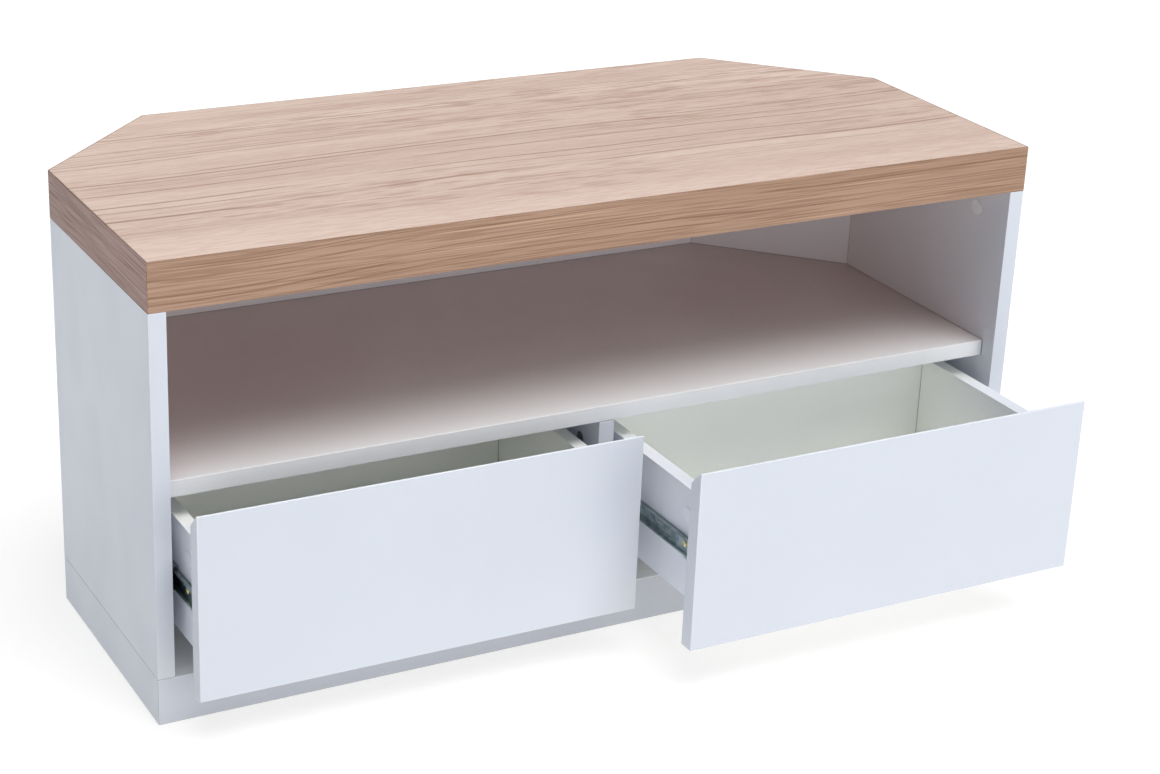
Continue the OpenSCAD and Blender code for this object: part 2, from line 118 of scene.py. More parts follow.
bpy.context.scene.view_settings.view_transform = "Standard"
bpy.context.scene.cycles.diffuse_bounces = 8

# %% [markdown]
# ## Helpers that wire nodes
# Every finish is a small network of nodes, and most of its lines only join two of them. `wire` links
# a socket or sets its number, whichever it is given, and `add` makes a node with its inputs filled
# in. A loop over nodes by hand would work as well, but the recipes below would then be hard to read.

# %% Helpers that wire nodes
def wire(tree, value, socket):
    if isinstance(value, bpy.types.NodeSocket):
        tree.links.new(value, socket)
    elif socket.type == "RGBA":
        socket.default_value = (*value[:3], 1)
    else:
        socket.default_value = value


def add(tree, kind, inputs, **settings):
    node = tree.nodes.new("ShaderNode" + kind)
    for name, value in settings.items():
        setattr(node, name, value)
    for name, value in inputs.items():
        wire(tree, value, node.inputs[name])
    return node


print("wiring helpers:", wire.__name__, add.__name__)

# %% [markdown]
# ## Helpers that make patterns
# `mottle` is noise whose blobs have a real size in metres along each axis, so that a pattern has the
# scale of the real one whatever the size of the piece. `mask` turns a stretch of its values into a
# soft step, `calc` does sums, `mix` lays one tone over another, and `relief` raises the surface.

# %% Helpers that make patterns
def mottle(tree, place, sizes, detail=2, shift=0.0):
    scale = [1 / size for size in sizes]
    spread = add(tree, "Mapping", {"Vector": place, "Scale": scale, "Location": [shift] * 3})
    return add(tree, "TexNoise", {"Vector": spread.outputs[0], "Scale": 1, "Detail": detail}).outputs[0]


def mask(tree, value, low, high, start=0.0, end=1.0):
    limits = {"Value": value, "From Min": low, "From Max": high, "To Min": start, "To Max": end}
    return add(tree, "MapRange", limits, interpolation_type="SMOOTHSTEP").outputs[0]


def calc(tree, what, a, b):
    node = tree.nodes.new("ShaderNodeMath")
    node.operation = what
    wire(tree, a, node.inputs[0])
    wire(tree, b, node.inputs[1])
    return node.outputs[0]


def mix(tree, amount, under, over):
    node = tree.nodes.new("ShaderNodeMix")
    node.data_type = "RGBA"
    factor, below, above = node.inputs[0], node.inputs[6], node.inputs[7]
    wire(tree, amount, factor)
    wire(tree, under, below)
    wire(tree, over, above)
    return node.outputs[2]


def start_finish(name):
    finish = bpy.data.materials.new(name)
    finish.use_nodes = True
    tree = finish.node_tree
    place = tree.nodes.new("ShaderNodeTexCoord").outputs["Object"]
    return finish, tree, tree.nodes["Principled BSDF"], place


def relief(tree, shader, height, depth):
    bump = add(tree, "Bump", {"Strength": 1, "Distance": depth, "Height": height})
    wire(tree, bump.outputs[0], shader.inputs["Normal"])


print("pattern helpers:", [helper.__name__ for helper in (mottle, mask, calc, mix, start_finish, relief)])

# %% [markdown]
# ## A pale sky
# The sky fills the shadows from every side. It is white near the horizon, so that the floor runs into
# it without a line, and dims higher up, where it would wash the shadows out.

# %% Light the sky
sky = bpy.data.worlds.new("studio")
bpy.context.scene.world = sky
sky.use_nodes = True
backdrop = sky.node_tree.nodes["Background"]
backdrop.inputs["Color"].default_value = (0.86, 0.93, 1, 1)
AT_HORIZON, OVERHEAD, HAZE_TOP = 1.1, 0.24, 0.16
direction = add(sky.node_tree, "TexCoord", {}).outputs["Generated"]
rise = add(sky.node_tree, "SeparateXYZ", {0: direction}).outputs[2]
strength = mask(sky.node_tree, rise, 0.0, HAZE_TOP, AT_HORIZON, OVERHEAD)
wire(sky.node_tree, strength, backdrop.inputs["Strength"])
print("sky mixed from", len(sky.node_tree.nodes), "nodes")

# %% [markdown]
# ## Where edges wear and catch the light
# Handling and dusting rub the edges of a board first, and those that face up most of all. On the
# oak foil this mask lays that wear down as a dark line. On the white boards it paints a highlight
# along the eased edges, lighter where they face up to the light. The Bevel node gives a normal that
# is rounded near an edge, so comparing it with the true normal shows how close an edge is. It follows
# the geometry, where a painted mask would have to be redone for each board. Noise breaks the mask
# into patches, and edges that face down keep less than a third of it.

# %% A mask for worn edges and painted edge highlights
# The first reach is that of the painted edge highlight on the white boards, the second that of the worn line
# on the oak foil.
BOARD_HIGHLIGHT_REACH = 0.0022
FOIL_WEAR = 0.0016


def edge_wear_highlight_mask(tree, radius, place):
    rounded = add(tree, "Bevel", {"Radius": radius}, samples=4).outputs[0]
    flat = tree.nodes.new("ShaderNodeNewGeometry").outputs["Normal"]
    facing = add(tree, "VectorMath", {0: rounded, 1: flat}, operation="DOT_PRODUCT").outputs["Value"]
    patchy = mask(tree, mottle(tree, place, (0.02, 0.02, 0.02), 3), 0.3, 0.7, 0.5, 1.0)
    # Up-facing edges get most of the mask: on the white boards this is painted light from above.
    upward = mask(tree, add(tree, "SeparateXYZ", {0: rounded}).outputs[2], 0, 0.3, 0.3, 1.0)
    near_edge = mask(tree, facing, 0.995, 0.85)
    return calc(tree, "MULTIPLY", near_edge, calc(tree, "MULTIPLY", patchy, upward))


# The board figure printed here is how far the painted edge highlight reaches in.
print("wear reaches", BOARD_HIGHLIGHT_REACH * 1000, "mm in from a board's edge,", FOIL_WEAR * 1000, "mm on foil")

# %% [markdown]
# ## Oak-effect foil
# The top is wrapped in a printed foil that copies straight-grained oak. Real oak shows several things
# at once: broad pale and tan stripes, thin growth lines that come in groups and wander a little, soft
# brown flecks, a few light streaks, and pores, which are short dark dashes. Each is one layer of
# noise, stretched along the grain, and the grain is turned to run along each band. A wood texture
# node has only rings, which is why the layers are built here one by one.

# %% The oak recipe
STRIPE = (1.0, 0.05, 0.05)
BREAK = (0.26, 0.009, 0.009)
STREAK = (0.35, 0.0022, 0.0022)
FLECK = (0.06, 0.007, 0.007)
FLECKED_AREA = (0.4, 0.09, 0.09)
PALER_NEAR_FRONT = 1.07
STREAK_LIFT = 1.25


def across_grain(tree, board, scale, detail):
    sway = mottle(tree, board, (0.6, 0.3, 0.3), 1)
    axes = add(tree, "SeparateXYZ", {0: board})
    across = calc(tree, "ADD", axes.outputs[1], axes.outputs[2])
    across = calc(tree, "ADD", across, calc(tree, "MULTIPLY", sway, 0.06))
    settings = {"W": across, "Scale": scale, "Detail": detail}
    return add(tree, "TexNoise", settings, noise_dimensions="1D").outputs[0]


def growth_lines(tree, board, ring_scale):
    rings = mask(tree, across_grain(tree, board, ring_scale, 3), 0.54, 0.6)
    groups = mask(tree, across_grain(tree, board, 13, 1), 0.45, 0.54, 0.12, 1.0)
    broken = mask(tree, mottle(tree, board, BREAK, 2, 3.1), 0.38, 0.54, 0.1, 1.0)
    return calc(tree, "MULTIPLY", calc(tree, "MULTIPLY", rings, groups), broken)


def fleck_patches(tree, board):
    soft = mask(tree, mottle(tree, board, FLECK, 3, 7.7), 0.5, 0.64)
    toward_right = mask(tree, add(tree, "SeparateXYZ", {0: board}).outputs[0], -0.6, 0.5, -0.08, 0.06)
    where = calc(tree, "ADD", mottle(tree, board, FLECKED_AREA, 1, 1.9), toward_right)
    return calc(tree, "MULTIPLY", soft, mask(tree, where, 0.42, 0.6, 0.08, 1.0))


def oak(name, grain, tones, ring_scale, pore, lined, flecked, porous, streaked, pale_edge=0.0):
    pale, tan, line, fleck = tones
    finish, tree, shader, place = start_finish(name)
    board = add(tree, "Mapping", {"Vector": place, "Rotation": (0, 0, grain)}).outputs[0]
    lines = growth_lines(tree, board, ring_scale)
    pores = mask(tree, mottle(tree, board, pore, 1, 5.3), 0.47, 0.58)
    streaks = mask(tree, mottle(tree, board, STREAK, 2, 8.8), 0.6, 0.72)
    from_middle = add(tree, "SeparateXYZ", {0: board}).outputs[1]
    near_front = mask(tree, from_middle, -0.06, -0.13, 0, pale_edge)
    quiet = calc(tree, "SUBTRACT", 1, near_front)

    def layer(under, amount, strength, over):
        return mix(tree, calc(tree, "MULTIPLY", amount, strength), under, over)

    colour = mix(tree, mask(tree, mottle(tree, board, STRIPE, 4), 0.3, 0.7), pale, tan)
    # The top is made paler towards its front edge.
    colour = layer(colour, near_front, 0.8, [PALER_NEAR_FRONT * tone for tone in pale])
    colour = layer(colour, quiet, calc(tree, "MULTIPLY", fleck_patches(tree, board), flecked), fleck)
    colour = layer(colour, quiet, calc(tree, "MULTIPLY", lines, lined), line)
    colour = layer(colour, pores, porous, line)
    colour = layer(colour, streaks, streaked, [STREAK_LIFT * tone for tone in pale])
    colour = layer(colour, edge_wear_highlight_mask(tree, FOIL_WEAR, place), 0.9, line)
    wire(tree, colour, shader.inputs["Base Color"])
    wire(tree, mask(tree, pores, 0, 1, 0.46, 0.62), shader.inputs["Roughness"])
    depth = calc(tree, "ADD", calc(tree, "MULTIPLY", pores, -1), calc(tree, "MULTIPLY", lines, -0.6))
    relief(tree, shader, depth, 0.00006)
    return finish


print("widths in mm: stripe", STRIPE[1] * 1000, "fleck", FLECK[1] * 1000, "streak", STREAK[1] * 1000)

# %% [markdown]
# ## Five oak finishes
# Each finish has four tones: pale, tan, growth line and fleck. The top face is pale and its pattern
# is broad, and it fades towards its front edge. The bands are darker, and their lines are finer and
# denser. The cut corners have the same foil as the bands with the grain turned to follow them. The
# sides have it with the grain turned too, in darker, greyer tones that paint in the shade of the side
# faces.

# %% Mix the oak finishes
TOP_TONES = ((0.72, 0.565, 0.485), (0.615, 0.46, 0.385), (0.29, 0.165, 0.115), (0.44, 0.285, 0.22))
BAND_TONES = ((0.42, 0.262, 0.176), (0.345, 0.205, 0.13), (0.19, 0.095, 0.05), (0.31, 0.175, 0.105))
# The side tones are the band foil's tones made darker and greyer: painted shade for the side faces.
SIDE_SHADE_TONES = ((0.345, 0.205, 0.17), (0.285, 0.165, 0.135), (0.16, 0.085, 0.065), (0.25, 0.14, 0.11))
FACE = {"ring_scale": 200, "pore": (0.03, 0.0032, 0.0032), "lined": 0.68, "flecked": 0.6, "porous": 0.16}
BAND = {"ring_scale": 320, "pore": (0.09, 0.0014, 0.0014), "lined": 0.7, "flecked": 0.15, "porous": 0.38}
oak_top = oak("oak foil along the top", 0, TOP_TONES, streaked=0.12, pale_edge=0.75, **FACE)
oak_front = oak("oak foil along the front", 0, BAND_TONES, streaked=0.85, **BAND)
oak_side_shaded = oak("oak foil along the sides, painted shade", pi / 2, SIDE_SHADE_TONES, streaked=0.65, **BAND)
oak_left_corner = oak("oak foil, left corner", -pi / 4, BAND_TONES, streaked=0.85, **BAND)
oak_right_corner = oak("oak foil, right corner", pi / 4, BAND_TONES, streaked=0.85, **BAND)
print("oak finishes:", [m.name for m in bpy.data.materials if m.name.startswith("oak foil")])

# %% [markdown]
# ## White boards
# Melamine is paper set in resin, pressed onto chipboard. It is never quite flat: a fine orange peel
# breaks up its reflections, the paper's fibres mottle it, and hands leave duller patches. Three more
# things are painted into its colour from where a piece of board is. Deep in the niche and behind the
# fronts, a tone of its own paints in the light that has bounced off its neighbours and the shade there,
# and Ambient Occlusion over 0.3 m finds those places. The same node over 2 mm finds the joints and
# inner corners, and paints shade into them, which also stands for their fine dark lines. Edges get a
# painted highlight, and are made a little rougher where they are rubbed.

# %% The coated board recipe
# The first colour is painted shade for joints and inner corners, the second a painted highlight for eased
# edges.
JOINT_SHADOW = (0.13, 0.11, 0.11)
PAINTED_EDGE_HIGHLIGHT = (0.93, 0.94, 0.96)
ABOVE_SHELF = (0.246, 0.249)
ROOM_REACH = 0.3
JOINT_REACH = 0.002


def coated_board(
        name, colour, shade, niche_painted_shading, bay_painted_shading, gloss=0.34, peel=0.00004, airy=0.47, closed=0.2):
    finish, tree, shader, place = start_finish(name)
    cloudy = mask(tree, mottle(tree, place, (0.22, 0.22, 0.22), 3), 0.3, 0.7)
    fibres = mottle(tree, place, (0.0011, 0.0011, 0.0011), 2, 2.2)
    tone = calc(tree, "ADD", calc(tree, "MULTIPLY", cloudy, 0.45), mask(tree, fibres, 0.35, 0.75, 0, 0.4))
    tinted = mix(tree, tone, colour, shade)

    # Painted light and shade: where Ambient Occlusion finds a sheltered place, the colour is swapped for a
    # painted tone of bounced light and shade, one above the shelf and one below it.
    open_air = add(tree, "AmbientOcclusion", {"Distance": ROOM_REACH}, samples=6).outputs["AO"]
    height = add(tree, "SeparateXYZ", {0: place}).outputs[2]
    painted_bounce_shading = mix(tree, mask(tree, height, *ABOVE_SHELF), bay_painted_shading, niche_painted_shading)
    tinted = mix(tree, mask(tree, open_air, airy, closed, 0, 0.9), tinted, painted_bounce_shading)
    # Painted highlight on the eased edges, most where they face up; the same mask makes the edges a little
    # rougher.
    edge_wear_and_highlight = edge_wear_highlight_mask(tree, BOARD_HIGHLIGHT_REACH, place)
    tinted = mix(tree, edge_wear_and_highlight, tinted, PAINTED_EDGE_HIGHLIGHT)
    # Painted shade in joints and inner corners, which also stands for their fine dark lines.
    close_by = add(tree, "AmbientOcclusion", {"Distance": JOINT_REACH}, samples=8).outputs["AO"]
    tinted = mix(tree, mask(tree, close_by, 0.8, 0.5, 0, 0.6), tinted, JOINT_SHADOW)
    wire(tree, tinted, shader.inputs["Base Color"])

    smears = mask(tree, mottle(tree, place, (0.05, 0.05, 0.09), 4, 4.4), 0.35, 0.7, gloss, gloss + 0.1)
    wire(tree, calc(tree, "ADD", smears, calc(tree, "MULTIPLY", edge_wear_and_highlight, 0.08)), shader.inputs["Roughness"])
    relief(tree, shader, mottle(tree, place, (0.0022, 0.0022, 0.0022), 2, 6.1), peel)
    return finish


# The tint that this prints is painted bounce light and shade.
print("boards are tinted within", ROOM_REACH, "m of their neighbours, above and below", ABOVE_SHELF[1], "m")

# %% [markdown]
# ## Five coated boards
# The carcass and the fronts are one cool white board. The shelf has a lighter copy of it, painted
# light where it is open and a darker, warm painted shade in the niche, and the plinth's face has a copy
# whose painted shade is darker. The drawer boxes are a cheaper, greyer and more matt board; inside the
# box a pale greenish painted light stands for the box reflecting itself, and the faces towards the
# runners have a copy with a cooler painted light.

# %% Mix the coated boards
# The third colour is the painted shading for sheltered places below the shelf.
WHITE, SHADE, BAY = (0.62, 0.655, 0.725), (0.595, 0.63, 0.7), (0.7, 0.71, 0.75)
# Painted shading for the drawer boards' sheltered places above the shelf.
PAINTED_DRAWER_NICHE_SHADING = (0.93, 0.9, 0.86)
white_board = coated_board("white melamine", WHITE, SHADE, niche_painted_shading=(0.95, 0.84, 0.82), bay_painted_shading=BAY)
# A copy of the white board whose painted shade below the shelf is darker, for the plinth's face.
plinth_painted_shade = coated_board(
    "white melamine, plinth, painted shade", WHITE, SHADE, niche_painted_shading=WHITE, bay_painted_shading=(0.45, 0.46, 0.5))
# A lighter copy of the white board: painted light on the shelf's open front, darker painted shade in the
# niche.
shelf_board = coated_board(
    "white melamine, shelf, painted light and shade", (0.82, 0.83, 0.85), (0.79, 0.8, 0.82), niche_painted_shading=(0.56, 0.465, 0.455),
    bay_painted_shading=BAY)
# Inside the box, a paler greenish tone is painted in for the light that the box reflects onto itself.
drawer_board = coated_board(
    "drawer melamine", (0.68, 0.715, 0.79), (0.65, 0.685, 0.76), niche_painted_shading=PAINTED_DRAWER_NICHE_SHADING,
    bay_painted_shading=(0.98, 0.99, 0.93), gloss=0.5, peel=0.00006, airy=0.54, closed=0.33)
# A copy with a cooler painted light, for the drawer sides' faces towards the runners.
drawer_outside_painted_light = coated_board(
    "drawer melamine, outer face", (0.68, 0.71, 0.78), (0.65, 0.68, 0.75), niche_painted_shading=PAINTED_DRAWER_NICHE_SHADING,
    bay_painted_shading=(0.88, 0.91, 0.98), gloss=0.5, peel=0.00006)
print("coated boards:", [m.name for m in bpy.data.materials if "melamine" in m.name])

# %% [markdown]
# ## Bare boards, card and beech
# These are inside the cabinet, and a look from below still finds some of them. Chipboard is chips of
# many tones, which Voronoi cells give in one node. Card and beech are fibres, so they are stretched
# noise again.

# %% Mix the hidden materials
def chipboard(name):
    finish, tree, shader, place = start_finish(name)
    spread = add(tree, "Mapping", {"Vector": place, "Scale": (260, 420, 420)}).outputs[0]
    chips = add(tree, "TexVoronoi", {"Vector": spread, "Scale": 1})
    tone = mask(tree, chips.outputs["Color"], 0.1, 0.9)
    colour = mix(tree, tone, (0.62, 0.47, 0.29), (0.36, 0.24, 0.13))
    dust = mask(tree, mottle(tree, place, (0.001, 0.001, 0.001), 3), 0.4, 0.8, 0, 0.5)
    wire(tree, mix(tree, dust, colour, (0.7, 0.58, 0.4)), shader.inputs["Base Color"])
    shader.inputs["Roughness"].default_value = 0.85
    relief(tree, shader, chips.outputs["Distance"], 0.0003)
    return finish


def fibrous(name, colour, dark, sizes, rough, depth):
    finish, tree, shader, place = start_finish(name)
    fibres = mottle(tree, place, sizes, 3)
    cloudy = mottle(tree, place, [12 * s for s in sizes], 2, 3.3)
    tone = calc(tree, "ADD", mask(tree, fibres, 0.35, 0.7, 0, 0.6), mask(tree, cloudy, 0.3, 0.7, 0, 0.4))
    wire(tree, mix(tree, tone, colour, dark), shader.inputs["Base Color"])
    wire(tree, mask(tree, fibres, 0.3, 0.7, rough, rough + 0.12), shader.inputs["Roughness"])
    relief(tree, shader, fibres, depth)
    return finish


bare_chipboard = chipboard("bare chipboard")
CARD_FIBRE = (0.004, 0.0006, 0.0006)
DOWEL_FIBRE = (0.0006, 0.0006, 0.006)
core_card = fibrous("brown card", (0.5, 0.36, 0.22), (0.36, 0.25, 0.14), CARD_FIBRE, rough=0.8, depth=0.0001)
beech = fibrous("beech dowel", (0.68, 0.47, 0.28), (0.5, 0.31, 0.17), DOWEL_FIBRE, rough=0.6, depth=0.0001)
print("hidden materials:", bare_chipboard.name, core_card.name, beech.name)

# %% [markdown]
# ## Metals
# Zinc plate is a bluish metal with fine drawing lines along the strip and a faint cloudy bloom. The
# yellow kind is passivated, and drifts between gold and green. Die-cast locks are dull and grainy,
# and the balls are nearly a mirror. One recipe gives all four, because they differ only in tone, in
# roughness and in the size of the marks that their making leaves.

# %% Mix the metals
def plated(name, colour, bloom, rough, sizes, depth):
    finish, tree, shader, place = start_finish(name)
    drawn = mottle(tree, place, sizes, 2)
    clouds = mottle(tree, place, (0.006, 0.01, 0.006), 3, 2.7)
    wire(tree, mix(tree, mask(tree, clouds, 0.35, 0.7), colour, bloom), shader.inputs["Base Color"])
    shader.inputs["Metallic"].default_value = 1.0
    dull = mask(tree, drawn, 0.3, 0.7, rough, rough + 0.14)
    wire(tree, calc(tree, "ADD", dull, mask(tree, clouds, 0.4, 0.8, 0, 0.1)), shader.inputs["Roughness"])
    relief(tree, shader, drawn, depth)
    return finish


DRAWN = (0.0004, 0.03, 0.0004)
zinc = plated("bright zinc", (0.44, 0.52, 0.53), (0.24, 0.31, 0.32), 0.22, DRAWN, 0.00002)
gold_zinc = plated("yellow zinc", (0.83, 0.66, 0.3), (0.62, 0.64, 0.36), 0.26, [0.0008] * 3, 0.00003)
die_cast = plated("die-cast zinc", (0.42, 0.43, 0.45), (0.3, 0.31, 0.33), 0.42, [0.0007] * 3, 0.00008)
ball_steel = plated("ball steel", (0.74, 0.75, 0.77), (0.66, 0.67, 0.69), 0.07, [0.001] * 3, 0.000003)
print("metals:", zinc.name, gold_zinc.name, die_cast.name, ball_steel.name, sep=", ")

# %% [markdown]
# ## Plastics
# Caps and stops are moulded. The mould is eroded by sparks, which leaves a fine even grain on the
# plastic, and the melt leaves faint bands where it flowed. The caps on the drawer sides are tinted
# towards the board, so that they show only faintly.

# %% Mix the plastics
def moulded(name, colour, shade, rough):
    finish, tree, shader, place = start_finish(name)
    spark = mottle(tree, place, (0.0005, 0.0005, 0.0005), 2)
    flow = mottle(tree, place, (0.012, 0.004, 0.012), 2, 1.4)
    wire(tree, mix(tree, mask(tree, flow, 0.35, 0.7), colour, shade), shader.inputs["Base Color"])
    wire(tree, mask(tree, spark, 0.3, 0.7, rough, rough + 0.12), shader.inputs["Roughness"])
    relief(tree, shader, spark, 0.00003)
    return finish


white_plastic = moulded("white moulded plastic", (0.8, 0.82, 0.84), (0.74, 0.76, 0.78), 0.3)
grey_plastic = moulded("pale grey moulded plastic", (0.74, 0.77, 0.84), (0.7, 0.73, 0.8), 0.42)
black_plastic = moulded("black moulded plastic", (0.02, 0.02, 0.022), (0.03, 0.03, 0.034), 0.42)
print("finishes mixed:", len(bpy.data.materials))

# %% [markdown]
# ## A pale studio floor
# The floor is one large plane, like the lit white table of a product studio: it glows a little, so
# shadows on it stay pale. It lies a hair below the plinth, because two faces in one place flicker.
# It is not attached to any body of the cabinet.

# %% Lay the floor
FLOOR_SIZE = 16
FLOOR_GLOW = 0.68
HAIR = 0.0003


def work_on(piece):
    bpy.ops.object.select_all(action="DESELECT")
    piece.select_set(True)
    bpy.context.view_layer.objects.active = piece


bpy.ops.object.select_all(action="DESELECT")
bpy.ops.mesh.primitive_plane_add(size=FLOOR_SIZE, location=(0, 0, -HAIR))
floor = bpy.context.object
floor.name = "studio_floor"
floor_finish, floor_tree, floor_shader, floor_place = start_finish("studio floor")
floor_tone = mask(floor_tree, mottle(floor_tree, floor_place, (0.5, 0.5, 0.5), 3), 0.3, 0.7)
floor_grey = mix(floor_tree, floor_tone, (0.4, 0.4, 0.4), (0.38, 0.38, 0.385))
wire(floor_tree, floor_grey, floor_shader.inputs["Base Color"])
floor_shader.inputs["Emission Color"].default_value = (1, 0.99, 0.98, 1)
floor_shader.inputs["Emission Strength"].default_value = FLOOR_GLOW
floor_shader.inputs["Roughness"].default_value = 0.8
relief(floor_tree, floor_shader, mottle(floor_tree, floor_place, (0.003, 0.003, 0.003)), 0.00005)
floor.data.materials.append(floor_finish)
print("floor laid,", floor.dimensions.x, "m wide")

# %% [markdown]
# ## Every piece is registered
# The imported model knows which body each node belongs to and which finish it has. A new piece takes
# its body from the node that it stands for, so that it moves with it, and hides that node.

# %% Helper that registers a piece
BODY_OF = {n: b for b, members in frame["record"]["behaviour"]["bodies"].items() for n in members}
SLOT_OF = {n: o.data.materials[0].name.split(".")[0] for n, o in NODES.items()}


def register(piece, body, slot, *nodes):
    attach(piece, body)
    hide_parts(*nodes)


print("bodies:", sorted(set(BODY_OF.values())), "slots:", len(set(SLOT_OF.values())))

# %% [markdown]
# ## Boards with eased edges
# A real board never has a razor edge: the edging tape is trimmed and eased, and that thin rounding is
# what catches the light. The CAD boards are exact but sharp. Each is copied, its loose triangles are
# merged into whole faces, and a Bevel modifier eases its long edges. The rims of the drilled holes
# are short, and are left alone: a bevel is never wider than its shortest neighbour allows, so one
# small hole would shrink the rounding of the whole board. Weights on the edges choose which to ease.

# %% Helper that copies and eases a node
BOARD_EASE = 0.0008
LONG_EDGE = 0.008
EVERY_EDGE = 0


def pick(piece, keep):
    shape = bmesh.from_edit_mesh(piece.data)
    for part in list(shape.verts) + list(shape.edges) + list(shape.faces):
        part.select_set(False)
    for part in (shape.edges if bpy.context.tool_settings.mesh_select_mode[1] else shape.faces):
        if keep(part):
            part.select_set(True)
    bmesh.update_edit_mesh(piece.data)


def apply(piece, kind, **settings):
    step = piece.modifiers.new(kind.lower(), kind)
    for key, value in settings.items():
        setattr(step, key, value)
    bpy.ops.object.modifier_apply(modifier=step.name)


def eased(node, name, finish, ease=BOARD_EASE, segments=2, shortest=LONG_EDGE):
    piece = bpy.data.objects.new(name, NODES[node].data.copy())
    bpy.context.scene.collection.objects.link(piece)
    work_on(piece)
    bpy.ops.mesh.customdata_custom_splitnormals_clear()
    bpy.ops.object.mode_set(mode="EDIT")
    bpy.ops.mesh.select_all(action="SELECT")
    bpy.ops.mesh.remove_doubles(threshold=0.000002)
    bpy.ops.mesh.dissolve_limited(angle_limit=radians(0.5))
    bpy.ops.mesh.select_mode(type="EDGE")
    pick(piece, lambda edge: edge.calc_face_angle(0) > radians(30) and edge.calc_length() > shortest)
    bpy.ops.transform.edge_bevelweight(value=1)
    bpy.ops.object.mode_set(mode="OBJECT")
    apply(piece, "BEVEL", width=ease, segments=segments, limit_method="WEIGHT")
    bpy.ops.object.shade_smooth_by_angle(angle=radians(40))
    apply(piece, "WEIGHTED_NORMAL", keep_sharp=True)
    piece.data.materials.clear()
    piece.data.materials.append(finish)
    register(piece, BODY_OF[node], SLOT_OF[node], node)
    print(name, len(piece.data.polygons), "faces")
    return piece


def second_finish(piece, finish, chosen):
    piece.data.materials.append(finish)
    for face in piece.data.polygons:
        face.material_index = int(chosen(face))


# %% [markdown]
# ## Boards of the carcass
# The sides, back, corner panels, divider, bottom and plinth are plain boards, so the helper makes
# them all. Only the plinth's front face has a finish of its own, a copy of the white board with
# darker painted shade. The shelf's front edge is handled most, and is rounded a little more.

# %% Ease the boards of the carcass
SHELF_EASE = 0.0012
CARCASS_BOARDS = (
    "side_left", "side_right", "back_panel", "corner_panel_left", "corner_panel_right", "divider",
    "bottom_panel", "plinth_front", "plinth_left", "plinth_right", "plinth_corners", "plinth_back")
for node in CARCASS_BOARDS:
    eased(node, node + "_board", white_board)
# The plinth's front face gets the copy with darker painted shade.
second_finish(bpy.data.objects["plinth_front_board"], plinth_painted_shade, lambda face: face.normal.y < -0.5)
eased("shelf", "shelf_board", shelf_board, SHELF_EASE)
eased("plinth_blocks", "glue_blocks", bare_chipboard)

# %% [markdown]
# ## Boards of the drawers
# A drawer front has no handle: it is pulled by its bevelled top edge, so its edges are the roundest
# of all. The box behind it is thin board with barely eased edges. Its outer faces look at the
# runners and not into the box, and take a copy of the finish with a cooler painted light.

# %% Ease the boards of both drawers
FRONT_EASE = 0.0015
BOX_EASE = 0.0004
for hand in ("left", "right"):
    eased(hand + "_front", hand + "_drawer_front", white_board, FRONT_EASE, segments=3)
    for part in ("side_outer", "side_inner", "back", "bottom"):
        eased(f"{hand}_{part}", f"{hand}_box_{part}", drawer_board, BOX_EASE)
    low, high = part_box(hand + "_front")
    middle = (low[0] + high[0]) / 2
    for part in ("side_outer", "side_inner"):
        # The faces of the drawer sides towards the runners get the copy with a cooler painted light.
        second_finish(
            bpy.data.objects[f"{hand}_box_{part}"], drawer_outside_painted_light,
            lambda face: (face.normal.x if face.center.x > middle else -face.normal.x) > 0.5)

# %% [markdown]
# ## The oak-effect top
# The top is a light panel: two thin skins on a frame with a card core, and a 50 mm band glued round
# its edge. The foil is cut where the skin meets the band, which shows as a thin dark line. The two
# bands on the cut corners are one CAD node, and their grain runs in two directions, so they are
# separated into two pieces.

# %% Ease the top and its bands
FOIL_EASE = 0.0004
eased("top_skin_upper", "oak_top_face", oak_top, FOIL_EASE)
eased("top_skin_lower", "oak_underside", oak_top, FOIL_EASE)
eased("edge_front", "front_band", oak_front, FOIL_EASE)
eased("edge_back", "back_band", oak_front, FOIL_EASE)
eased("edge_left", "left_band", oak_side_shaded, FOIL_EASE)
eased("edge_right", "right_band", oak_side_shaded, FOIL_EASE)
corners = eased("edge_corners", "left_corner_band", oak_left_corner, FOIL_EASE)
work_on(corners)
bpy.ops.object.mode_set(mode="EDIT")
bpy.ops.mesh.select_all(action="SELECT")
bpy.ops.mesh.separate(type="LOOSE")
bpy.ops.object.mode_set(mode="OBJECT")
for piece in bpy.context.selected_objects:
    right_hand = piece.data.vertices[0].co.x > 0
    piece.name = "right_corner_band" if right_hand else "left_corner_band"
    piece.data.materials[0] = oak_right_corner if right_hand else oak_left_corner
    print(piece.name, len(piece.data.polygons), "faces")

# %% [markdown]
# ## Pressed-steel runners
# A runner is two strips of 1.2 mm steel rolled to shape, with rows of balls between them. The member
# on the cabinet is a C whose lips curl round the balls. The member on the drawer is a smaller channel
# with a groove on each edge that the balls run in. One half of each profile is drawn by extruding and
# spinning an edge, then it is mirrored, given its thickness, and punched with its holes.

# %% Helpers that shape a strip of sheet steel
SHEET = 0.0012
BALL_X = 0.009
BALL_Z = 0.01065
BEND = 0.0015
RAIL_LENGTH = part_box("cabinet_rails")[1].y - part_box("cabinet_rails")[0].y
RAIL_Z = (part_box("cabinet_rails")[1].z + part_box("cabinet_rails")[0].z) / 2
SCREW_PLACES = (0.032, 0.128, 0.218)
SPARE_HOLES = (0.045, 0.086, 0.172)
HOLE_RADIUS = 0.002


